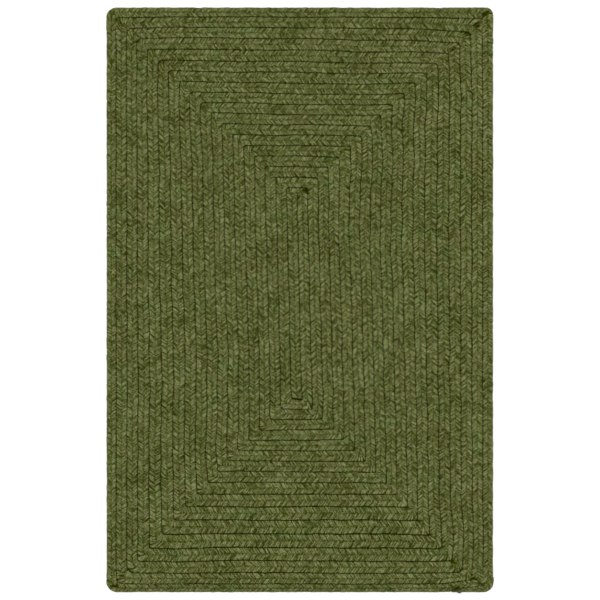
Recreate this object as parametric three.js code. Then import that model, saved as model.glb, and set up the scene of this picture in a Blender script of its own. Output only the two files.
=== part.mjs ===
// A braided rug in millimetres, +Z up, its long side along Y, lying flat on Z = 0.
//
// It is made as the real one is: a single flat braid starts in the middle, runs up one
// column, turns back down the next, and is wound clockwise round itself, each turn laced
// edge to edge to the turn before. The last turn tapers off round the lower right corner,
// where its end is tucked in. The result is one solid sheet with a rounded ridge along
// every turn and a groove between turns on both faces. Grooves are numbered inwards from
// the rug's edge, which is groove 0, and turns outwards from the middle.

import * as THREE from 'three';
import { mergeVertices } from 'three/addons/utils/BufferGeometryUtils.js';

// ---- the rug ----
const rugWidth = 1214;
const rugLength = 1837;
const turnCount = 18;
const seamX = -1; // the closed seam between the first column and the second
const seamTopY = 319.5;
const seamBottomY = -312.5;

// ---- how the turns lie on each side ----
// grooves: how many lie between the edge and the seam, the seam included
// edgeRow: width of the outermost row
// swelling: how much wider the fattest row is than the inner ones
// fattestRow: which row that is, counted from the edge
// spread: rows over which the swelling fades
// lean: slope of the inner grooves, columns to the left going up and rows down to the right
// leanSpread: rows from the edge over which the lean sets in
const sides = {
  left: {
    grooves: 18, edgeRow: 30.2, swelling: 3.5, fattestRow: 6, spread: 2.4, lean: 0.0225, leanSpread: 7,
  },
  right: {
    grooves: 18, edgeRow: 32.7, swelling: 3.6, fattestRow: 5.3, spread: 2.8, lean: 0.0225, leanSpread: 7,
  },
  top: {
    grooves: 18, edgeRow: 30.2, swelling: 4.2, fattestRow: 4.2, spread: 1.5, lean: 0.0125, leanSpread: 2.5,
  },
  bottom: {
    grooves: 17, edgeRow: 25.5, swelling: 11.6, fattestRow: 5.7, spread: 2.9, lean: 0.004, leanSpread: 5,
  },
};

// ---- corners ----
const grooveCornerRadius = 11;
const edgeCornerRadius = 34;
const tailCornerRadius = 42;
const cornerSteps = [0, 0.25, 0.5, 0.75, 1];

// ---- the tapered end, which wedges in under the outermost bottom row ----
const tailEndX = 490;
const tailEndWidth = 12;
const tailCornerWidth = 22;
const tailRunIn = 26; // length over which the row beside the tail swings out to the edge
const passedOnPush = 15; // how far the tail still lifts the next groove in, at its corner
const passedOnLength = 150; // length from that corner over which this dies away

// ---- the braid's section, from its inner groove (0) to its outer groove (1) ----
const braidThickness = 9.5;
const upperFace = [
  { across: 0, z: 6.2 },
  { across: 0.16, z: 8.9 },
  { across: 0.5, z: braidThickness },
  { across: 0.84, z: 8.9 },
  { across: 1, z: 6.2 },
];
const underFace = [
  { across: 0, z: 2.4 },
  { across: 0.2, z: 0 },
  { across: 0.8, z: 0 },
  { across: 1, z: 2.4 },
];

const oliveYarn = new THREE.MeshStandardMaterial({
  name: 'olive_yarn',
  color: '#565b31',
  roughness: 0.95,
  metalness: 0,
});

// ---- where the grooves lie ----

const halfWidth = rugWidth / 2;
const halfLength = rugLength / 2;
const spans = {
  left: halfWidth + seamX,
  right: halfWidth - seamX,
  top: halfLength - seamTopY,
  bottom: halfLength + seamBottomY,
};

// Distance from the rug's edge to each groove of one side.
function grooveDepths(side) {
  const { grooves, edgeRow, swelling, fattestRow, spread } = sides[side];
  const swellingOf = (row) => Math.exp(-(((row - fattestRow) / spread) ** 2));
  let swollen = 0;
  for (let row = 2; row <= grooves; row += 1) {
    swollen += swelling * swellingOf(row);
  }
  const innerRow = (spans[side] - edgeRow - swollen) / (grooves - 1);
  const depths = [0, edgeRow];
  for (let row = 2; row <= grooves; row += 1) {
    depths.push(depths[row - 1] + innerRow + swelling * swellingOf(row));
  }
  return depths;
}

const depths = {
  left: grooveDepths('left'),
  right: grooveDepths('right'),
  top: grooveDepths('top'),
  bottom: grooveDepths('bottom'),
};

function leanOf(side, groove) {
  if (groove < 1) {
    return 0;
  }
  const { lean, leanSpread } = sides[side];
  return lean * (1 - Math.exp(-(((groove - 1) / leanSpread) ** 2)));
}

// A column's groove gives x for a height y, and a row's groove gives y for a place x.
const columnX = {
  left: (groove, y) => -halfWidth + depths.left[groove] - leanOf('left', groove) * y,
  right: (groove, y) => halfWidth - depths.right[groove] - leanOf('right', groove) * y,
};

// How far the tail lifts the two lowest grooves of the bottom rows.
function tailPush(groove, x) {
  const cornerX = halfWidth - depths.right[1];
  if (groove === 1) {
    return passedOnPush * THREE.MathUtils.smoothstep(x, cornerX - passedOnLength, cornerX);
  }
  const along = THREE.MathUtils.clamp((x - tailEndX) / (cornerX - tailEndX), 0, 1);
  const runIn = THREE.MathUtils.clamp((x - tailEndX + tailRunIn) / tailRunIn, 0, 1);
  return runIn * THREE.MathUtils.lerp(tailEndWidth, tailCornerWidth, along);
}

// Groove -1 of the bottom is the rug's edge below the tail.
const rowY = {
  top: (groove, x) => halfLength - depths.top[groove] - leanOf('top', groove) * x,
  bottom: (groove, x) => {
    if (groove < 0) {
      return -halfLength;
    }
    const push = groove < 2 ? tailPush(groove, x) : 0;
    return -halfLength + depths.bottom[groove] + push - leanOf('bottom', groove) * x;
  },
};

// The corners of a turn in the order of winding. A turn leaves its right column along the
// row that lies one groove further out, which is what makes the winding a spiral.
const lowerLeft = { columnSide: 'left', rowSide: 'bottom', fromColumn: false, rowShift: 0 };
const upperLeft = { columnSide: 'left', rowSide: 'top', fromColumn: true, rowShift: 0 };
const upperRight = { columnSide: 'right', rowSide: 'top', fromColumn: false, rowShift: 0 };
const lowerRight = { columnSide: 'right', rowSide: 'bottom', fromColumn: true, rowShift: -1 };
const windingOrder = [lowerLeft, upperLeft, upperRight, lowerRight];

function cornerRadius(groove, rowGroove) {
  if (groove > 0) {
    return grooveCornerRadius;
  }
  return rowGroove < 0 ? tailCornerRadius : edgeCornerRadius;
}

// The points of one groove round one corner, in the order of winding.
function roundCorner(place, groove) {
  const { columnSide, rowSide, fromColumn, rowShift } = place;
  if (groove === turnCount && rowSide === 'top') {
    // At the top of the seam the first column turns straight back down.
    const seamTop = new THREE.Vector2(columnX.left(groove, seamTopY), seamTopY);
    return cornerSteps.map(() => seamTop);
  }
  const rowGroove = groove + rowShift;
  const onColumn = (y) => new THREE.Vector2(columnX[columnSide](groove, y), y);
  const onRow = (x) => new THREE.Vector2(x, rowY[rowSide](rowGroove, x));
  const firstGuess = onRow(columnX[columnSide](groove, 0));
  const corner = onRow(onColumn(firstGuess.y).x);
  const radius = cornerRadius(groove, rowGroove);
  const columnEnd = onColumn(corner.y + (rowSide === 'top' ? -radius : radius));
  const rowEnd = onRow(corner.x + (columnSide === 'left' ? radius : -radius));
  const centre = columnEnd.clone().add(rowEnd).sub(corner);
  const begin = (fromColumn ? columnEnd : rowEnd).clone().sub(centre);
  const end = (fromColumn ? rowEnd : columnEnd).clone().sub(centre);
  return cornerSteps.map((step) => {
    const angle = (step * Math.PI) / 2;
    return centre
      .clone()
      .addScaledVector(begin, Math.cos(angle))
      .addScaledVector(end, Math.sin(angle));
  });
}

// ---- sections across the braid, each with its station along the winding ----

// A side of a turn is one station long: its corner takes the first half, its straight the rest.
const cornerShare = 0.5;

function stationOf(turn, place, onCorner, onStraight) {
  const side = windingOrder.length * turn + windingOrder.indexOf(place);
  return side + cornerShare * onCorner + (1 - cornerShare) * onStraight;
}

function cornerSections(place, turn) {
  const inner = roundCorner(place, turnCount + 1 - turn);
  const outer = roundCorner(place, turnCount - turn);
  return cornerSteps.map((step, i) => ({
    station: stationOf(turn, place, step, 0),
    inner: inner[i],
    outer: outer[i],
  }));
}

function sectionBesideTail(turn, { x, share }) {
  const innerRow = turnCount - turn;
  return {
    station: stationOf(turn, lowerRight, 1, share),
    inner: new THREE.Vector2(x, rowY.bottom(innerRow, x)),
    outer: new THREE.Vector2(x, rowY.bottom(innerRow - 1, x)),
  };
}

// share: how far along the straight of the row the place is counted to lie
const besideTail = [
  { x: tailEndX, share: 0.1 },
  { x: tailEndX - tailRunIn, share: 0.2 },
];

// The sections of one turn, up to and including the first of the next.
function turnSections(turn) {
  const sections = [];
  if (turn === 1) {
    // The braid starts between the seam and the groove beside it.
    sections.push({
      station: stationOf(turn, lowerLeft, 1, 0),
      inner: roundCorner(lowerRight, turnCount)[0],
      outer: roundCorner(lowerLeft, turnCount - 1).at(-1),
    });
  } else {
    sections.push(...cornerSections(lowerLeft, turn));
  }
  sections.push(...cornerSections(upperLeft, turn));
  sections.push(...cornerSections(upperRight, turn));
  sections.push(...cornerSections(lowerRight, turn));
  if (turn === turnCount) {
    sections.push(sectionBesideTail(turn, besideTail[0]));
    return sections;
  }
  if (turn === turnCount - 1) {
    sections.push(...besideTail.map((place) => sectionBesideTail(turn, place)));
  }
  sections.push(cornerSections(lowerLeft, turn + 1)[0]);
  return sections;
}

// A line along the turn at one place of the section. The groove next to the row beside the
// tail takes that row's extra points, so that the two rows meet point for point.
function lineAlong(turn, sections, { across, z }) {
  const line = sections.map(({ station, inner, outer }) => {
    const at = inner.clone().lerp(outer, across);
    return { station, point: new THREE.Vector3(at.x, at.y, z) };
  });
  if (turn === turnCount - 2 && across === 1) {
    const extra = besideTail.map((place) => {
      const { station, outer } = sectionBesideTail(turn, place);
      return { station, point: new THREE.Vector3(outer.x, outer.y, z) };
    });
    line.splice(-1, 0, ...extra);
  }
  return line;
}

// ---- the surface ----

const corners = []; // three points for every triangle

function addTriangle(a, b, c) {
  const [first, second, third] = [a, b, c].map(({ point }) => point);
  if (!first.equals(second) && !second.equals(third) && !third.equals(first)) {
    corners.push(first, second, third);
  }
}

// Fills the strip between two lines that run the same way, the second to the left of the first.
function fillBetween(right, left) {
  let i = 0;
  let j = 0;
  while (i < right.length - 1 || j < left.length - 1) {
    const nextRight = i < right.length - 1 ? right[i + 1].station : Infinity;
    const nextLeft = j < left.length - 1 ? left[j + 1].station : Infinity;
    if (nextRight <= nextLeft) {
      addTriangle(right[i], right[i + 1], left[j]);
      i += 1;
    } else {
      addTriangle(right[i], left[j + 1], left[j]);
      j += 1;
    }
  }
}

// The braid runs clockwise, so its outer side is on the left, seen from above.
function addFaces(upperLines, underLines) {
  for (let i = 0; i < upperLines.length - 1; i += 1) {
    fillBetween(upperLines[i], upperLines[i + 1]);
  }
  for (let i = 0; i < underLines.length - 1; i += 1) {
    fillBetween(underLines[i + 1], underLines[i]);
  }
}

const fromStation = (line, station) => line.filter((place) => place.station >= station);

function addTurn(turn) {
  const sections = turnSections(turn);
  const upperLines = upperFace.map((place) => lineAlong(turn, sections, place));
  const underLines = underFace.map((place) => lineAlong(turn, sections, place));
  addFaces(upperLines, underLines);
  // The rug's edge is the outer side of the last turn and, past the tail, of the one before.
  const upperEdge = upperLines.at(-1);
  const underEdge = underLines.at(-1);
  if (turn === turnCount) {
    fillBetween(upperEdge, underEdge);
    const end = [...underLines, ...upperLines.toReversed()].map((line) => line.at(-1));
    for (let i = 1; i < end.length - 1; i += 1) {
      addTriangle(end[0], end[i], end[i + 1]);
    }
  } else if (turn === turnCount - 1) {
    const { station } = sectionBesideTail(turn, besideTail[0]);
    fillBetween(fromStation(upperEdge, station), fromStation(underEdge, station));
  }
}

// The blunt start of the braid, rounded down to the groove on both faces.
function addStart() {
  const [first] = turnSections(1);
  const roundEnd = [...roundCorner(lowerRight, turnCount), ...roundCorner(lowerLeft, turnCount - 1)];
  const acrossSection = (face) =>
    face.slice(1, -1).map(({ across, z }) => {
      const at = first.inner.clone().lerp(first.outer, across);
      return { station: across, point: new THREE.Vector3(at.x, at.y, z) };
    });
  const alongGroove = ({ z }) =>
    roundEnd.map((at, i) => ({
      station: i / (roundEnd.length - 1),
      point: new THREE.Vector3(at.x, at.y, z),
    }));
  fillBetween(acrossSection(upperFace), alongGroove(upperFace[0]));
  fillBetween(alongGroove(underFace[0]), acrossSection(underFace));
}

addStart();
for (let turn = 1; turn <= turnCount; turn += 1) {
  addTurn(turn);
}

const rug = new THREE.Group();
const woundBraid = new THREE.Mesh(
  mergeVertices(new THREE.BufferGeometry().setFromPoints(corners), 1e-3),
  oliveYarn,
);
woundBraid.name = 'wound_braid';
rug.add(woundBraid);

export default rug;
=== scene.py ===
import math

import bpy
import numpy as np
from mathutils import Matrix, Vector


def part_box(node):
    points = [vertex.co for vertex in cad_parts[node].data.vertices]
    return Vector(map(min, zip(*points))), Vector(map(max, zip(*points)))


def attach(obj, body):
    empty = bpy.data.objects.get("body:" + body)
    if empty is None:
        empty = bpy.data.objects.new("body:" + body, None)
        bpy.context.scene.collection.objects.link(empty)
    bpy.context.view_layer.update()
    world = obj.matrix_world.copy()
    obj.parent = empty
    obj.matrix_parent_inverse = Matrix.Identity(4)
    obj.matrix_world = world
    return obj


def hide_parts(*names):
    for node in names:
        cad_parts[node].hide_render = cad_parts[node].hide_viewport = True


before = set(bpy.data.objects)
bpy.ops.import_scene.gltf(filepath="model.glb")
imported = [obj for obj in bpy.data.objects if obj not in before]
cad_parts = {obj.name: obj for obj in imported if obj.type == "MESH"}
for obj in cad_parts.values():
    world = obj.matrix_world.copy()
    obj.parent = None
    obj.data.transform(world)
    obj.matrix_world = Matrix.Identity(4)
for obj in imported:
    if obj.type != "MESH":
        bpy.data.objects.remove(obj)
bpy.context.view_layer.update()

# Everything is in metres. The rug lies flat with its long side along Y.
rugLow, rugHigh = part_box("wound_braid")
halfWidth = (rugHigh[0] - rugLow[0]) / 2
halfLength = (rugHigh[1] - rugLow[1]) / 2
rugThickness = rugHigh[2]
random = np.random.default_rng(18)


# ---- where the braid lies ----

# Grooves are numbered inwards from the rug's edge, which is 0, and turns outwards from the middle.
winding = {
    "turns": 18,
    "seamX": -0.001,  # the seam is the innermost groove, between the first two columns
    "seamTop": 0.3195,
    "seamBottom": -0.3125,
    "startY": -0.3150,
    "grooveRadius": 0.007,
    "tailEnd": 0.490,  # the tail wedges in under the lowest row from here to the corner
    "tailEndWidth": 0.012,
    "tailCornerWidth": 0.022,
    "tailRunIn": 0.016,
    "tailTuckedIn": 0.023,
    "passedOnPush": 0.015,  # how far it pushes the next groove up, and over which length
    "passedOnLength": 0.150,
    "dip": 0.012,  # how far the upper rows sag where they near the right corners
    "dipRow": 2.1,
    "dipSpread": 1.3,
    "dipLength": 0.22,
    "stationStep": 0.008,
    "fanSteps": 20,
}
# The rows and columns of each side: how many grooves, how wide the outermost row is, how much
# wider the rows get towards the fattest one, and how far the inner grooves lean.
sides = {
    "left": {"grooves": 18, "edgeRow": 0.0302, "swelling": 0.0035, "fattestRow": 6, "spread": 2.4,
             "lean": 0.0225, "leanSpread": 7},
    "right": {"grooves": 18, "edgeRow": 0.0327, "swelling": 0.0036, "fattestRow": 5.3, "spread": 2.8,
              "lean": 0.0225, "leanSpread": 7},
    "top": {"grooves": 18, "edgeRow": 0.0302, "swelling": 0.0042, "fattestRow": 4.2, "spread": 1.5,
            "lean": 0.0125, "leanSpread": 2.5},
    "bottom": {"grooves": 17, "edgeRow": 0.0270, "swelling": 0.0116, "fattestRow": 5.7, "spread": 2.9,
               "lean": 0.004, "leanSpread": 5},
}
# How far each side's grooves reach in from the rug's edge.
spans = {
    "left": halfWidth + winding["seamX"],
    "right": halfWidth - winding["seamX"],
    "top": halfLength - winding["seamTop"],
    "bottom": halfLength + winding["seamBottom"],
}


# How far each groove of one side lies from the rug's edge.
def grooveDepths(side):
    numbers = sides[side]
    rows = np.arange(2, numbers["grooves"] + 1)
    fromFattest = (rows - numbers["fattestRow"]) / numbers["spread"]
    swelling = numbers["swelling"] * np.exp(-(fromFattest**2))
    innerRow = (spans[side] - numbers["edgeRow"] - swelling.sum()) / (numbers["grooves"] - 1)
    inner = numbers["edgeRow"] + np.cumsum(innerRow + swelling)
    return np.concatenate([[0, numbers["edgeRow"]], inner])


depths = {side: grooveDepths(side) for side in sides}


# How far a groove leans for each metre along it. The rug's edge doesn't lean.
def leanOf(side, groove):
    if groove < 1:
        return 0
    return sides[side]["lean"] * (1 - math.exp(-(((groove - 1) / sides[side]["leanSpread"]) ** 2)))


# Where a column's groove lies at a height y up the rug.
def columnX(side, groove, y):
    outwards = -1 if side == "left" else 1
    return outwards * (halfWidth - depths[side][groove]) - leanOf(side, groove) * y


# How far the tail lifts the two lowest grooves of the bottom rows.
def tailPush(groove, x):
    cornerX = halfWidth - depths["right"][1]
    if groove == 1:
        rise = np.clip((x - cornerX) / winding["passedOnLength"] + 1, 0, 1)
        return winding["passedOnPush"] * rise * rise * (3 - 2 * rise)
    past = x - winding["tailEnd"]
    along = np.clip(past / (cornerX - winding["tailEnd"]), 0, 1)
    width = winding["tailEndWidth"] + along * (winding["tailCornerWidth"] - winding["tailEndWidth"])
    return width * np.clip(past / winding["tailRunIn"] + 1, 0, 1)


# How far a groove of the upper rows sags as it nears its right corner.
def cornerDip(groove, x):
    cornerX = halfWidth - depths["right"][groove]
    near = np.clip((x - cornerX) / winding["dipLength"] + 1, 0, 1)
    size = winding["dip"] * math.exp(-(((groove - winding["dipRow"]) / winding["dipSpread"]) ** 2))
    return size * near**2 if groove > 0 else 0 * near


# Where a row's groove lies at a place x across the rug. Groove -1 is the rug's edge under the tail.
def rowY(side, groove, x):
    if side == "top":
        sag = cornerDip(groove, x)
        return halfLength - depths["top"][groove] - sag - leanOf("top", groove) * x
    if groove < 0:
        return -halfLength + 0 * x
    push = tailPush(groove, x) if groove < 2 else 0
    return -halfLength + depths["bottom"][groove] + push - leanOf("bottom", groove) * x


# The corners of a turn in the order of winding. A turn leaves its right column along the row
# one groove further out, which is what makes the winding a spiral. The radii are those of the
# grooves that bend more softly than the rest.
lowerLeft = {"column": "left", "row": "bottom", "fromColumn": False, "rowShift": 0,
             "radii": {0: 0.032, 1: 0.022, 2: 0.024, 5: 0.014}}
upperLeft = {"column": "left", "row": "top", "fromColumn": True, "rowShift": 0,
             "radii": {0: 0.030, 2: 0.018, 3: 0.018, 5: 0.012, 9: 0.012}}
upperRight = {"column": "right", "row": "top", "fromColumn": False, "rowShift": 0,
              "radii": {0: 0.025}}
lowerRight = {"column": "right", "row": "bottom", "fromColumn": True, "rowShift": -1,
              "radii": {0: 0.031, 3: 0.016}}


# One groove's bend: where it leaves the column and the row, and the middle of its arc.
def grooveBend(place, groove):
    rowGroove = groove + place["rowShift"]
    if groove == winding["turns"] and place["row"] == "top":
        seamTop = np.array([columnX(place["column"], groove, winding["seamTop"]), winding["seamTop"]])
        return {"columnEnd": seamTop, "rowEnd": seamTop, "centre": seamTop}
    y = rowY(place["row"], rowGroove, columnX(place["column"], groove, 0.0))
    x = columnX(place["column"], groove, y)
    corner = np.array([x, rowY(place["row"], rowGroove, x)])
    radius = place["radii"].get(groove, winding["grooveRadius"])
    columnEndY = corner[1] + (-radius if place["row"] == "top" else radius)
    rowEndX = corner[0] + (radius if place["column"] == "left" else -radius)
    columnEnd = np.array([columnX(place["column"], groove, columnEndY), columnEndY])
    rowEnd = np.array([rowEndX, rowY(place["row"], rowGroove, rowEndX)])
    return {"columnEnd": columnEnd, "rowEnd": rowEnd, "centre": columnEnd + rowEnd - corner}


# Stations round a corner: rays from the middle of the inner groove's arc to the outer groove.
def cornerStations(place, turn):
    groove = winding["turns"] - turn
    inner = grooveBend(place, groove + 1)
    outer = grooveBend(place, groove)
    middle = inner["centre"]
    columnStart = np.array([columnX(place["column"], groove, middle[1]), middle[1]])
    rowStart = np.array([middle[0], rowY(place["row"], groove + place["rowShift"], middle[0])])
    share = np.linspace(0, 1, winding["fanSteps"])[:, None]
    bend = share * math.pi / 2
    line = np.concatenate([
        columnStart + share * (outer["columnEnd"] - columnStart),
        outer["centre"]
        + np.cos(bend) * (outer["columnEnd"] - outer["centre"])
        + np.sin(bend) * (outer["rowEnd"] - outer["centre"]),
        outer["rowEnd"] + share * (rowStart - outer["rowEnd"]),
    ])
    away = line - middle
    angles = np.unwrap(np.arctan2(away[:, 1], away[:, 0]))
    reach = np.hypot(away[:, 0], away[:, 1])
    turned = np.linspace(angles[0], angles[-1], winding["fanSteps"] + 1)
    outwards = angles if angles[-1] > angles[0] else -angles
    lookup = turned if angles[-1] > angles[0] else -turned
    outerReach = np.interp(lookup, outwards, reach)
    innerReach = np.linalg.norm(inner["columnEnd"] - middle)
    rays = np.stack([np.cos(turned), np.sin(turned)], axis=1)
    stations = np.stack([middle + rays * innerReach, middle + rays * outerReach[:, None]])
    return stations if place["fromColumn"] else stations[:, ::-1]


# Stations along a column or a row: points on its inner groove and opposite ones on its outer.
def columnStations(side, turn, fromY, toY):
    groove = winding["turns"] - turn
    y = np.linspace(fromY, toY, max(3, int(abs(toY - fromY) / winding["stationStep"])))[1:-1]
    inner = np.stack([columnX(side, groove + 1, y), y], axis=1)
    outer = np.stack([columnX(side, groove, y), y], axis=1)
    return np.stack([inner, outer])


def rowStations(side, groove, fromX, toX):
    x = np.linspace(fromX, toX, max(3, int(abs(toX - fromX) / winding["stationStep"])))[1:-1]
    inner = np.stack([x, rowY(side, groove + 1, x)], axis=1)
    outer = np.stack([x, rowY(side, groove, x)], axis=1)
    return np.stack([inner, outer])


# The whole braid from its start to its tail, as points on its inner and its outer groove.
def windBraid():
    runs = []
    for turn in range(1, winding["turns"] + 1):
        groove = winding["turns"] - turn
        upLeft, upRight, lowRight = [
            grooveBend(place, groove + 1)["centre"] for place in (upperLeft, upperRight, lowerRight)
        ]
        if turn == 1:
            startY = winding["startY"]
        else:
            runs.append(cornerStations(lowerLeft, turn))
            startY = grooveBend(lowerLeft, groove + 1)["centre"][1]
        runs.append(columnStations("left", turn, startY, upLeft[1]))
        runs.append(cornerStations(upperLeft, turn))
        if turn > 1:
            runs.append(rowStations("top", groove, upLeft[0], upRight[0]))
        runs.append(cornerStations(upperRight, turn))
        runs.append(columnStations("right", turn, upRight[1], lowRight[1]))
        runs.append(cornerStations(lowerRight, turn))
        if turn < winding["turns"]:
            nextX = grooveBend(lowerLeft, groove)["centre"][0]
        else:
            nextX = winding["tailEnd"] - winding["tailTuckedIn"]
        runs.append(rowStations("bottom", groove - 1, lowRight[0], nextX))
    inner, outer = np.concatenate(runs, axis=1)
    middle = (inner + outer) / 2
    steps = np.linalg.norm(np.diff(middle, axis=0), axis=1)
    along = np.concatenate([[0], np.cumsum(steps)])
    return {"inner": inner, "outer": outer, "along": along, "length": along[-1]}


track = windBraid()
print("braid wound:", round(track["length"], 2), "m in", winding["turns"], "turns")


# ---- the strands ----

strand = {
    "count": 3,
    "repeat": 0.0554,  # length of braid in which a strand comes back to its side
    "nominalWidth": 0.0337,  # of the straight braid, which its grooves then make narrower or wider
    "halfSpan": 0.0097,  # half of the length of braid that a strand covers
    "halfThick": 0.0023,
    "edgeShade": 0.12,  # how much deeper than they lie its edges are shaded
    "edgeBite": 6,  # the higher, the closer to its edges that shade keeps
    "pressedThick": 0.92,  # how much of its thickness it has where the gaps are pressed shut
    "tiltedSpan": 0.8,  # the tilt grows as far out as this, as a share of half of its span
    "slant": 0.8,  # how wide it really is, as a share of the length of braid that it covers
    "grainShift": 40.0,  # how far apart in the grain two strands begin, so that no two are alike
    "layer": 0.0024,  # how far the upper and lower passes lie from the middle
    "reach": 0.0147,  # how far out its middle is where it folds round
    "runs": 6,  # the braid is meshed in this many lengths
}
# A strand from its fold at one edge to its fold at the other: in under the braid, up through the
# middle and out over it. Across is in reaches, height in layers and along in half repeats; facing
# is how far the outline is turned from straight out, tilt lifts the side that lies ahead, and
# pressed is how far the gaps between the yarns are closed.
crossing = {
    "across": np.array([-1, -0.86, 0, 0.26, 0.93]),
    "along": np.array([0, 0.10, 0.565, 0.68, 0.970]),
    "height": np.array([0, -0.82, -0.45, 0.8, 0.78]),
    "facing": np.radians([0, -55, -90, 90, 52]),
    "tilt": np.array([0, 0, 1.4, 0.3, 0]),
    "pressed": np.array([0.65, 0.35, 0, 0, 0.55]),
}
# Where the two gaps between a strand's three yarns lie, as shares of half of its span.
yarnGaps = ((-0.30, 0.36), (-0.44, 0.20), (-0.16, 0.46))


# A strand's outline: the tops of its three yarns with the gaps between them, and the same below.
def strandOutline(number):
    first, second = yarnGaps[number]
    upper = [
        ((first - 1) / 2, 0.94), (first, 0.10), ((first + second) / 2, 1),
        (second, 0.05), ((second + 1) / 2, 0.92),
    ]
    lower = [(x, -y) for x, y in reversed(upper)]
    return np.array([(-1, 0), *upper, (1, 0), *lower])


# How uneven the strands are: how far apart along the braid the changes come, and how large.
uneven = {
    "up": (0.03, 0.06),
    "across": (0.03, 0.03),
    "span": (0.03, 0.05),
    "thick": (0.02, 0.06),
    "along": (0.04, 0.01),
    "pitch": (0.09, 0.0022),
    "pitchSeed": 4,
}


# Smooth random variation along the braid.
def drift(at, spacing, size, chance=random):
    knots = chance.normal(0, size, int(track["length"] / spacing) + 4)
    place = np.clip(at / spacing, 0, len(knots) - 2)
    first = place.astype(int)
    share = place - first
    share = share * share * (3 - 2 * share)
    return knots[first] * (1 - share) + knots[first + 1] * share


# How far the three strands together run ahead of their even pitch, or behind it.
def pitchDrift(along):
    return drift(along, *uneven["pitch"], np.random.default_rng(uneven["pitchSeed"]))


# Places where the lacing pulled the winding out of true: where, how far round about it reaches,
# and how far the braid lies off in x and in y.
pulls = (
    {"at": (0.36, 0.67), "reach": 0.11, "off": (0.008, 0.007)},
    {"at": (0.31, 0.62), "reach": 0.05, "off": (0.004, 0)},
    {"at": (0.55, 0.79), "reach": 0.09, "off": (-0.005, 0)},
    {"at": (0.20, 0.80), "reach": 0.11, "off": (0, -0.003)},
    {"at": (0.25, 0.37), "reach": 0.09, "off": (0.004, 0)},
    {"at": (0.35, -0.14), "reach": 0.16, "off": (-0.0025, 0)},
    {"at": (0.35, -0.66), "reach": 0.13, "off": (0, -0.0025)},
    {"at": (-0.44, -0.26), "reach": 0.13, "off": (0.003, 0)},
    {"at": (0.19, 0.47), "reach": 0.09, "off": (0.009, 0.001)},
    {"at": (0.30, 0.20), "reach": 0.17, "off": (-0.006, 0)},
    {"at": (-0.30, -0.14), "reach": 0.15, "off": (0.004, 0)},
    {"at": (-0.24, -0.46), "reach": 0.10, "off": (-0.006, 0.002)},
    {"at": (-0.36, 0.62), "reach": 0.13, "off": (-0.005, 0.002)},
    {"at": (0.48, -0.76), "reach": 0.09, "off": (0.009, -0.002)},
    {"at": (0.22, -0.86), "reach": 0.09, "off": (0, -0.004)},
    {"at": (-0.40, -0.78), "reach": 0.10, "off": (0, -0.003)},
    {"at": (-0.02, -0.42), "reach": 0.08, "off": (0, 0.004)},
    {"at": (-0.54, 0.86), "reach": 0.10, "off": (0, -0.004)},
    {"at": (0.42, 0.84), "reach": 0.16, "off": (0, -0.005)},
    {"at": (0.25, -0.68), "reach": 0.08, "off": (0, 0.004)},
    {"at": (0.12, -0.44), "reach": 0.06, "off": (0, 0.005)},
    {"at": (0, -0.315), "reach": 0.022, "off": (0.002, -0.004)},
)
# Bends where the lacing closes the groove beside the edge braid: where, and how far round about.
closed = (
    {"at": (-0.577, 0.870), "reach": 0.026},
    {"at": (0.566, 0.874), "reach": 0.026},
    {"at": (-0.572, -0.872), "reach": 0.016},
    {"at": (0.572, -0.884), "reach": 0.024},
)
lacing = {
    "closedBy": 0.14,  # how much further than elsewhere the braid reaches there
    "rowSlack": 0.013,  # how much less far it reaches in the rows, which are laced more loosely
    "bendGrip": 0.011,  # how much further it reaches in the columns beside a bend
    "bendNear": 0.055,
}
# Hollows where a bend or an end opens the braid: short lines, how wide, and how much of the
# thickness they take. The braid sinks there, and its yarn is also painted darker there as shade.
hollows = (
    {"from": (0.577, 0.895), "to": (0.593, 0.904), "wide": 0.0045, "deep": 0.48},
    {"from": (0.548, 0.864), "to": (0.560, 0.860), "wide": 0.0030, "deep": 0.40},
    {"from": (0.469, 0.777), "to": (0.488, 0.793), "wide": 0.0030, "deep": 0.40},
    {"from": (0.522, 0.839), "to": (0.528, 0.836), "wide": 0.0040, "deep": 0.45},
    {"from": (-0.578, 0.883), "to": (-0.562, 0.867), "wide": 0.0030, "deep": 0.22},
    {"from": (0.010, 0.344), "to": (0.026, 0.344), "wide": 0.0026, "deep": 0.38},
    {"from": (0.021, 0.349), "to": (0.023, 0.337), "wide": 0.0030, "deep": 0.40},
    {"from": (-0.005, 0.322), "to": (-0.005, 0.319), "wide": 0.0030, "deep": 0.40},
    {"from": (0.332, -0.652), "to": (0.343, -0.652), "wide": 0.0022, "deep": 0.38},
    {"from": (0.369, -0.694), "to": (0.382, -0.694), "wide": 0.0024, "deep": 0.44},
    {"from": (0.402, -0.737), "to": (0.415, -0.738), "wide": 0.0026, "deep": 0.46},
    {"from": (0.446, -0.777), "to": (0.458, -0.774), "wide": 0.0020, "deep": 0.38},
    {"from": (0.474, -0.821), "to": (0.479, -0.820), "wide": 0.0026, "deep": 0.48},
    {"from": (0.483, -0.816), "to": (0.491, -0.827), "wide": 0.0022, "deep": 0.45},
    {"from": (0.536, -0.878), "to": (0.546, -0.872), "wide": 0.0024, "deep": 0.45},
    {"from": (0.547, -0.872), "to": (0.554, -0.877), "wide": 0.0024, "deep": 0.42},
    {"from": (0.558, -0.891), "to": (0.578, -0.897), "wide": 0.0045, "deep": 0.28},
    {"from": (0.477, -0.909), "to": (0.497, -0.906), "wide": 0.0040, "deep": 0.48},
    {"from": (-0.562, -0.865), "to": (-0.557, -0.867), "wide": 0.0022, "deep": 0.42},
    {"from": (-0.531, -0.837), "to": (-0.529, -0.834), "wide": 0.0020, "deep": 0.40},
    {"from": (-0.588, -0.898), "to": (-0.572, -0.900), "wide": 0.0030, "deep": 0.35},
)
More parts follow.
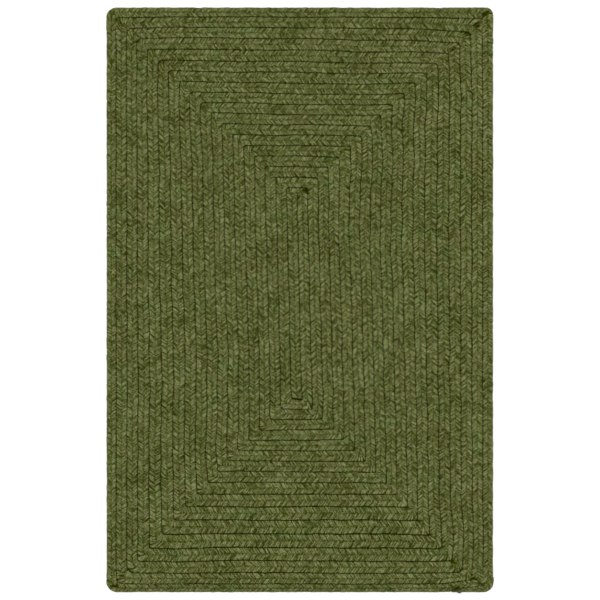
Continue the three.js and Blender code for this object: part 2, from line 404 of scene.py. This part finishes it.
# Small wanderings of the whole winding, so that no groove is quite straight.
wander = {
    "waves": 14,
    "size": 0.0003,
    "shortest": 0.07,
    "longest": 0.30,
    "seed": 5,
    "heldX": 12,  # the higher, the closer to the rug's sides and ends they die out
    "heldY": 18,
}


# Where points of the even winding lie once they have wandered off and been pulled.
def wanderOff(x, y):
    chance = np.random.default_rng(wander["seed"])
    moved = []
    for _ in range(2):
        total = 0
        for _ in range(wander["waves"]):
            angle, start = chance.uniform(0, 2 * math.pi, 2)
            length = chance.uniform(wander["shortest"], wander["longest"])
            reach = (x * math.cos(angle) + y * math.sin(angle)) / length
            total = total + np.sin(2 * math.pi * reach + start)
        moved.append(total * wander["size"])
    for pull in pulls:
        apart = (x - pull["at"][0]) ** 2 + (y - pull["at"][1]) ** 2
        share = np.exp(-apart / pull["reach"] ** 2)
        moved = [total + share * off for total, off in zip(moved, pull["off"])]
    return (
        x + moved[0] * (1 - np.clip(np.abs(x) / halfWidth, 0, 1) ** wander["heldX"]),
        y + moved[1] * (1 - np.clip(np.abs(y) / halfLength, 0, 1) ** wander["heldY"]),
    )


# What the hollows leave of the rug's height.
def heightLeft(x, y):
    left = np.ones_like(x)
    for hollow in hollows:
        (startX, startY), (endX, endY) = hollow["from"], hollow["to"]
        lineX, lineY = endX - startX, endY - startY
        share = ((x - startX) * lineX + (y - startY) * lineY) / (lineX**2 + lineY**2)
        share = np.clip(share, 0, 1)
        apart = np.hypot(x - startX - share * lineX, y - startY - share * lineY)
        left *= 1 - hollow["deep"] * np.exp(-((apart / hollow["wide"]) ** 2))
    return left


# Where the wound braid has points given along and across the straight one, and what is left of
# its height there.
def layOnTrack(along, across):
    inner, outer = [
        np.stack([np.interp(along, track["along"], track[edge][:, axis]) for axis in range(2)])
        for edge in ("inner", "outer")
    ]
    middle = (inner + outer) / 2
    # 1 in a row and 0 in a column, and how far from a column's bend a point lies
    inRows = np.abs(outer[1] - inner[1]) / np.maximum(np.hypot(*(outer - inner)), 0.001)
    pastBend = np.abs(middle[0]) - halfWidth + halfLength - np.abs(middle[1])
    grip = (1 - inRows) * np.exp(-((pastBend / lacing["bendNear"]) ** 2))
    wider = 1 - lacing["rowSlack"] * inRows + lacing["bendGrip"] * grip
    for place in closed:
        apart = (middle[0] - place["at"][0]) ** 2 + (middle[1] - place["at"][1]) ** 2
        wider += lacing["closedBy"] * np.exp(-apart / place["reach"] ** 2)
    share = across * wider / strand["nominalWidth"]
    x, y = wanderOff(*(middle + (outer - inner) * share))
    return x, y, heightLeft(x, y)


# One strand of the whole braid, as rings of points, with what its yarn's colour needs to know: the
# grain's lengths and the depths that its painted shade follows.
def strandRings(number):
    # some half repeats more than the braid has room for, which are trimmed below
    halves = np.arange(-3, int(2 * track["length"] / strand["repeat"]) + 3)[:, None]
    side = np.where(halves % 2 == 0, 1.0, -1.0)
    shift = number / strand["count"]
    along = ((halves + crossing["along"]) / 2 + shift) * strand["repeat"]
    side, halfAlong = np.broadcast_arrays(side, along)
    across = side * crossing["across"] * strand["reach"]
    up = np.broadcast_to(crossing["height"] * strand["layer"], along.shape)
    facing = np.broadcast_to(crossing["facing"], along.shape)
    tilt = np.broadcast_to(crossing["tilt"] * strand["layer"], along.shape)
    pressed = np.broadcast_to(crossing["pressed"], along.shape)
    # the same face of the strand looks out of the fold, down below and up again after the next fold
    beyondMiddle = np.arange(len(crossing["across"])) > 1
    outward = np.where(beyondMiddle, side, -side) * np.cos(facing)
    upward = np.sin(facing)
    face = np.where(beyondMiddle, -side, side)
    face = np.where(crossing["across"] == 0, side, face)
    keep = (along > -strand["repeat"] / 2) & (along < track["length"] + strand["repeat"] / 2)
    along, across, up, tilt, pressed, outward, upward, face = [
        value[keep] for value in (along, across, up, tilt, pressed, outward, upward, face)
    ]
    up = up * (1 + drift(along, *uneven["up"]))
    across = across * (1 + drift(along, *uneven["across"]))
    span = strand["halfSpan"] * (1 + drift(along, *uneven["span"]))
    thick = strand["halfThick"] * (1 + drift(along, *uneven["thick"]))
    length = np.concatenate([[0], np.cumsum(np.hypot(np.diff(along), np.diff(across)))])
    along = along + pitchDrift(along) + strand["repeat"] * drift(along, *uneven["along"])
    spread, bulge = strandOutline(number).T
    ringAlong = np.clip(along[:, None] + span[:, None] * spread, 0, track["length"])
    full = strand["pressedThick"] * np.sign(bulge)
    lift = (thick * face)[:, None] * (bulge + pressed[:, None] * (full - bulge))
    ringAcross = across[:, None] + lift * outward[:, None]
    tilted = np.clip(spread, -strand["tiltedSpan"], strand["tiltedSpan"])
    ringUp = up[:, None] + lift * upward[:, None] + tilt[:, None] * tilted
    x, y, left = layOnTrack(ringAlong, ringAcross)
    # the underside lies pressed flat on the floor
    height = np.maximum((rugThickness / 2 + ringUp) * left, 0)
    points = np.stack([x, y, height], axis=-1)
    # painted shade: how near the rug's faces each point is seen to lie, 0.5 at the middle and 1 at a
    # face, and less in the hollows and at the strand's edges; the lower it is, the darker the yarn is
    # painted
    deep = (0.5 + np.abs(ringUp) / rugThickness) * left**2
    deep = deep - strand["edgeShade"] * spread ** strand["edgeBite"]
    length = length + strand["grainShift"] * number
    return {"points": points, "length": length, "deep": deep, "along": along}


def addPiece(name, mesh):
    piece = bpy.data.objects.new(name, mesh)
    bpy.context.scene.collection.objects.link(piece)
    return piece


# A mesh of tubes, each a grid of rings with both ends closed.
def meshTubes(name, tubes):
    sectionSize = len(strandOutline(0))
    vertices, corners, sizes, places, paintedShadeDepths = [], [], [], [], []
    base = 0
    for number, tube in enumerate(tubes):
        outline = strandOutline(number) * (strand["halfSpan"] * strand["slant"], strand["halfThick"])
        sideLengths = np.linalg.norm(np.diff(outline, axis=0, append=outline[:1]), axis=1)
        around = np.concatenate([[0], np.cumsum(sideLengths)])
        points = tube["points"]
        ringCount = len(points)
        ring, side = np.meshgrid(np.arange(ringCount - 1), np.arange(sectionSize), indexing="ij")
        ringsOf = np.stack([ring, ring, ring + 1, ring + 1], axis=-1).reshape(-1)
        sidesOf = np.stack([side, side + 1, side + 1, side], axis=-1).reshape(-1)
        corners.append(base + ringsOf * sectionSize + sidesOf % sectionSize)
        places.append(np.stack([around[sidesOf], tube["length"][ringsOf]], axis=1))
        sizes.append(np.full((ringCount - 1) * sectionSize, 4))
        for end, order in ((0, 1), (ringCount - 1, -1)):
            corners.append((base + end * sectionSize + np.arange(sectionSize))[::order])
            places.append(np.stack([
                around[:-1], np.full(sectionSize, tube["length"][end])], axis=1)[::order])
            sizes.append([sectionSize])
        vertices.append(points.reshape(-1, 3))
        paintedShadeDepths.append(tube["deep"].reshape(-1))
        base += ringCount * sectionSize
    vertices, corners, sizes = [np.concatenate(part) for part in (vertices, corners, sizes)]
    mesh = bpy.data.meshes.new(name)
    mesh.vertices.add(len(vertices))
    mesh.vertices.foreach_set("co", vertices.astype(np.float32).ravel())
    mesh.loops.add(len(corners))
    mesh.loops.foreach_set("vertex_index", corners.astype(np.int32))
    starts = np.concatenate([[0], np.cumsum(sizes)[:-1]])
    mesh.polygons.add(len(sizes))
    mesh.polygons.foreach_set("loop_start", starts.astype(np.int32))
    mesh.polygons.foreach_set("use_smooth", np.ones(len(sizes), bool))
    mesh.update(calc_edges=True)
    uv = mesh.uv_layers.new(name="yarn")
    uv.data.foreach_set("uv", np.concatenate(places).astype(np.float32).ravel())
    # the depths that the yarn's painted shade follows
    deep = mesh.attributes.new("deep", "FLOAT", "POINT")
    deep.data.foreach_set("value", np.concatenate(paintedShadeDepths).astype(np.float32))
    mesh.validate()
    return addPiece(name, mesh)


# Every piece rides on the rug's one body and stands for its one solid.
def dressPiece(piece, material):
    piece.data.materials.append(material)
    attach(piece, "root")
    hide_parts("wound_braid")


# ---- the yarn ----

yarn = {
    "tones": (
        (0.00, (0.0150, 0.0200, 0.0001, 1)),
        (0.25, (0.0730, 0.0830, 0.0140, 1)),
        (0.50, (0.1345, 0.1475, 0.0560, 1)),
        (1.00, (0.3340, 0.3580, 0.2370, 1)),
    ),
    # painted shade: what is left of the colour, darker and less and less blue further in, from the
    # rug's middle to its faces
    "hollow": (
        (0.30, (0.14, 0.17, 0.00, 1)),
        (0.54, (0.26, 0.29, 0.02, 1)),
        (0.76, (0.88, 0.90, 0.46, 1)),
        (0.97, (1.00, 1.00, 1.00, 1)),
    ),
    # grains of tone: how many to a metre across and along the yarn, how much of the noise's
    # middle they stretch over, which sharpens them, and how strong they are
    "grains": (
        {"across": 250, "along": 34, "middle": 0.07, "strength": 0.20},
        {"across": 1100, "along": 70, "middle": 0.14, "strength": 0.16},
    ),
    "patches": (
        {"perMetre": 300, "middle": 0.18, "strength": 0.20},
        {"perMetre": 10, "middle": 0.30, "strength": 0.055},
    ),
    # here and there a patch of the yarn is a little greener or a little browner
    "castPerMetre": 17,
    "cast": (
        (0.24, (0.91, 1.00, 0.97, 1)),
        (0.41, (1.00, 1.00, 1.00, 1)),
        (0.64, (1.00, 1.00, 1.00, 1)),
        (0.80, (1.00, 0.93, 0.98, 1)),
    ),
    "fuzz": {"strength": 0.6, "depth": 0.0015},  # the finest relief, in the shape of the first grain
    "roughness": 0.95,
    "shine": 0.05,
}


# A new node, with its settings and the values of its sockets, and the outputs that feed it.
def node(tree, kind, links=None, **values):
    made = tree.nodes.new(kind)
    for key, value in values.items():
        if hasattr(made, key):
            setattr(made, key, value)
        else:
            made.inputs[key].default_value = value
    for key, source in (links or {}).items():
        tree.links.new(source, made.inputs[key])
    return made


# The colour of a ramp that runs through the given heights and colours.
def rampColour(tree, source, steps):
    made = node(tree, "ShaderNodeValToRGB", {"Fac": source})
    stops = made.color_ramp.elements
    for stop, (height, colour) in zip((stops[0], stops[1]), (steps[0], steps[-1])):
        stop.position, stop.color = height, colour
    for height, colour in steps[1:-1]:
        stops.new(height).color = colour
    return made.outputs["Color"]


def multiplied(tree, colour, other):
    made = node(tree, "ShaderNodeMix", data_type="RGBA", blend_type="MULTIPLY")
    made.inputs["Factor"].default_value = 1
    tree.links.new(colour, made.inputs[6])
    tree.links.new(other, made.inputs[7])
    return made.outputs[2]


# A new material with a piece's roughness and shine, and its surface node.
def newMaterial(name, look):
    material = bpy.data.materials.new(name)
    material.use_nodes = True
    surface = material.node_tree.nodes["Principled BSDF"]
    surface.inputs["Roughness"].default_value = look["roughness"]
    surface.inputs["Specular IOR Level"].default_value = look["shine"]
    return material, surface


def heatheredYarn():
    material, surface = newMaterial("heathered_olive_yarn", yarn)
    tree = material.node_tree
    place = node(tree, "ShaderNodeUVMap", uv_map="yarn")
    whole = node(tree, "ShaderNodeTexCoord")
    sources = []
    for grain in yarn["grains"]:
        at = node(tree, "ShaderNodeMapping", {"Vector": place.outputs["UV"]},
                  Scale=(grain["across"], grain["along"], 1))
        sources.append((at.outputs["Vector"], 1.0, grain))
    for patch in yarn["patches"]:
        sources.append((whole.outputs["Object"], patch["perMetre"], patch))
    tone = None
    for at, scale, grain in sources:
        noise = node(tree, "ShaderNodeTexNoise", {"Vector": at}, Scale=scale, Detail=0.0)
        part = node(tree, "ShaderNodeMapRange", {"Value": noise.outputs["Fac"]})
        part.inputs["From Min"].default_value = 0.5 - grain["middle"]
        part.inputs["From Max"].default_value = 0.5 + grain["middle"]
        part.inputs["To Min"].default_value = -grain["strength"]
        part.inputs["To Max"].default_value = grain["strength"]
        if tone is None:
            tone, fuzz = part.outputs["Result"], noise
        else:
            tone = node(tree, "ShaderNodeMath", {0: tone, 1: part.outputs["Result"]},
                        operation="ADD").outputs["Value"]
    ranged = node(tree, "ShaderNodeMapRange", {"Value": tone})
    ranged.inputs["From Min"].default_value = -0.5
    ranged.inputs["From Max"].default_value = 0.5
    colour = rampColour(tree, ranged.outputs["Result"], yarn["tones"])
    # painted shade: the colour grows darker and less blue the deeper in the rug a point lies
    deep = node(tree, "ShaderNodeAttribute", attribute_name="deep")
    hollow = rampColour(tree, deep.outputs["Fac"], yarn["hollow"])
    blotches = node(tree, "ShaderNodeTexNoise", {"Vector": whole.outputs["Object"]},
                    Scale=yarn["castPerMetre"], Detail=0.0)
    cast = rampColour(tree, blotches.outputs["Fac"], yarn["cast"])
    shaded = multiplied(tree, multiplied(tree, colour, hollow), cast)
    tree.links.new(shaded, surface.inputs["Base Color"])
    bump = node(tree, "ShaderNodeBump", {"Height": fuzz.outputs["Fac"]})
    bump.inputs["Strength"].default_value = yarn["fuzz"]["strength"]
    bump.inputs["Distance"].default_value = yarn["fuzz"]["depth"]
    tree.links.new(bump.outputs["Normal"], surface.inputs["Normal"])
    return material


# ---- the braid, in its lengths ----

# Each length ends on the ring where the next begins.
def braidStrands():
    braidYarn = heatheredYarn()
    strands = [strandRings(number) for number in range(strand["count"])]
    runEnds = np.linspace(0, track["length"], strand["runs"] + 1)
    runEnds[[0, -1]] = -strand["repeat"], track["length"] + strand["repeat"]
    pieces = []
    for run in range(strand["runs"]):
        tubes = []
        for one in strands:
            first, last = np.searchsorted(one["along"], runEnds[run:run + 2])
            tubes.append({key: value[first:last + 1] for key, value in one.items()})
        piece = meshTubes(f"braid_length_{run + 1}", tubes)
        dressPiece(piece, braidYarn)
        pieces.append(piece)
    return pieces


braidPieces = braidStrands()
print("strands braided:", sum(len(piece.data.polygons) * 2 for piece in braidPieces), "triangles")


# ---- the frayed end of the tail, and a loose end of thread at the last bend ----

fray = {
    "tufts": (
        {"fibres": 110, "root": (0.4985, -0.9085, 0.0050), "tip": (0.5005, -0.9205, 0.0045),
         "rootSpread": 0.0022, "tipSpread": 0.0034, "top": rugThickness},
        {"fibres": 60, "root": (0.5640, -0.8935, 0.0088), "tip": (0.5690, -0.8975, 0.0098),
         "rootSpread": 0.0016, "tipSpread": 0.0024, "top": rugThickness + 0.0012},
    ),
    "radius": 0.0004,
    "thinsTo": 0.5,
    "steps": 5,
    "sides": 4,
    "curl": 0.0016,
    "flattened": (1, 0.4, 0.5),  # how much of the scatter is left in x, y and z
    "colour": (0.110, 0.112, 0.062, 1),
    "roughness": 1,
    "shine": 0.5,
}


# The middles of one fibre of a tuft, from its root to its tip.
def fibreLine(tuft):
    root = np.array(tuft["root"]) + random.normal(0, tuft["rootSpread"], 3) * fray["flattened"]
    tip = np.array(tuft["tip"]) + random.normal(0, tuft["tipSpread"], 3) * fray["flattened"]
    curl = random.normal(0, fray["curl"], 3)
    share = np.linspace(0, 1, fray["steps"])[:, None]
    line = root + (tip - root) * share + curl * np.sin(math.pi * share)
    line[:, 2] = np.clip(line[:, 2], fray["radius"], tuft["top"])
    return line


# Both tufts as one piece: thin tapering tubes with their ends closed.
def frayTail():
    vertices, faces = [], []
    count = fray["sides"]
    turn = np.linspace(0, 2 * math.pi, count, endpoint=False)
    ringShape = np.stack([np.cos(turn), 0 * turn, np.sin(turn)], axis=1)
    sizes = np.linspace(1, fray["thinsTo"], fray["steps"]) * fray["radius"]
    for tuft in fray["tufts"]:
        for _ in range(tuft["fibres"]):
            base = len(vertices)
            for middle, size in zip(fibreLine(tuft), sizes):
                vertices += [tuple(point) for point in middle + size * ringShape]
            for ring in range(fray["steps"] - 1):
                for side in range(count):
                    first = base + ring * count + side
                    after = base + ring * count + (side + 1) % count
                    faces.append((first, first + count, after + count, after))
            faces.append(tuple(range(base, base + count)))
            faces.append(tuple(range(len(vertices) - 1, len(vertices) - 1 - count, -1)))
    mesh = bpy.data.meshes.new("tail_fray")
    mesh.from_pydata(vertices, [], faces)
    return addPiece("tail_fray", mesh)


def frayedYarn():
    material, surface = newMaterial("frayed_yarn", fray)
    surface.inputs["Base Color"].default_value = fray["colour"]
    return material


frayPiece = frayTail()
dressPiece(frayPiece, frayedYarn())
print("ends frayed:", sum(tuft["fibres"] for tuft in fray["tufts"]), "fibres")


# ---- the yarn deep in the braid, as a dark sheet of painted shade ----

heart = {
    "inset": 0.0055,
    "low": 0.0034,
    "high": 0.0046,
    "radius": 0.03,
    "arcSteps": 8,
    # near black: painted shade for the grooves, darker than any of the yarn's tones
    "colour": (0.019, 0.024, 0.0003, 1),
    "roughness": 1,
    "shine": 0.05,
}


# A thin dark layer at mid-height, nearly as large as the rug, which closes the grooves and is
# coloured as their painted shade.
def grooveShadeSheet():
    x, y = halfWidth - heart["inset"], halfLength - heart["inset"]
    outline = []
    for cornerX, cornerY, begin in ((1, 1, 0), (-1, 1, 90), (-1, -1, 180), (1, -1, 270)):
        for step in range(heart["arcSteps"] + 1):
            angle = math.radians(begin + 90 * step / heart["arcSteps"])
            atX = cornerX * (x - heart["radius"]) + heart["radius"] * math.cos(angle)
            atY = cornerY * (y - heart["radius"]) + heart["radius"] * math.sin(angle)
            outline.append((atX, atY))
    count = len(outline)
    vertices = [(*at, z) for z in (heart["low"], heart["high"]) for at in outline]
    faces = [list(range(count))[::-1], list(range(count, 2 * count))]
    for here in range(count):
        after = (here + 1) % count
        faces.append((here, after, count + after, count + here))
    mesh = bpy.data.meshes.new("braid_heart")
    mesh.from_pydata(vertices, [], faces)
    return addPiece("braid_heart", mesh)


def paintedGrooveShade():
    material, surface = newMaterial("deep_yarn_painted_shade", heart)
    surface.inputs["Base Color"].default_value = heart["colour"]
    return material


heartPiece = grooveShadeSheet()
dressPiece(heartPiece, paintedGrooveShade())
print("heart laid in")


# ---- floor, light and camera ----

paleFloor = {
    "size": 60,
    "colour": (0.9, 0.9, 0.9, 1),
    "roughness": 1,
    "shine": 0,
    "glow": 0.35,  # what it gives off to the camera alone, so that it looks white
}
studio = {
    "sky": 1.0,
    "white": (1, 1, 1, 1),
    "viewHeight": 9.0,  # above the rug's top
    "framed": 1.8830,  # how far across the camera sees, at the height of the rug's top
    "overX": 0.0005,  # the point on the rug that the camera looks down at
    "overY": -0.0005,
    "sensor": 36,  # millimetres
    "clipEnd": 100,
}


def layFloor():
    bpy.ops.mesh.primitive_plane_add(size=paleFloor["size"])
    floor = bpy.context.object
    floor.name = "floor"
    material, surface = newMaterial("pale_floor", paleFloor)
    surface.inputs["Base Color"].default_value = paleFloor["colour"]
    tree = material.node_tree
    rays = node(tree, "ShaderNodeLightPath")
    glow = node(tree, "ShaderNodeMath", {0: rays.outputs["Is Camera Ray"]}, operation="MULTIPLY")
    glow.inputs[1].default_value = paleFloor["glow"]
    surface.inputs["Emission Color"].default_value = studio["white"]
    tree.links.new(glow.outputs["Value"], surface.inputs["Emission Strength"])
    floor.data.materials.append(material)


def lightStudio():
    world = bpy.data.worlds.new("studio")
    bpy.context.scene.world = world
    world.use_nodes = True
    background = world.node_tree.nodes["Background"]
    background.inputs["Color"].default_value = studio["white"]
    background.inputs["Strength"].default_value = studio["sky"]


def placeCamera():
    data = bpy.data.cameras.new("camera")
    data.sensor_width = studio["sensor"]
    data.lens = studio["sensor"] * studio["viewHeight"] / studio["framed"]
    data.clip_end = studio["clipEnd"]
    camera = bpy.data.objects.new("camera", data)
    camera.location = (studio["overX"], studio["overY"], studio["viewHeight"] + rugThickness)
    bpy.context.scene.collection.objects.link(camera)
    bpy.context.scene.camera = camera


layFloor()
lightStudio()
placeCamera()
bpy.context.scene.view_settings.view_transform = "Standard"
print("studio set")
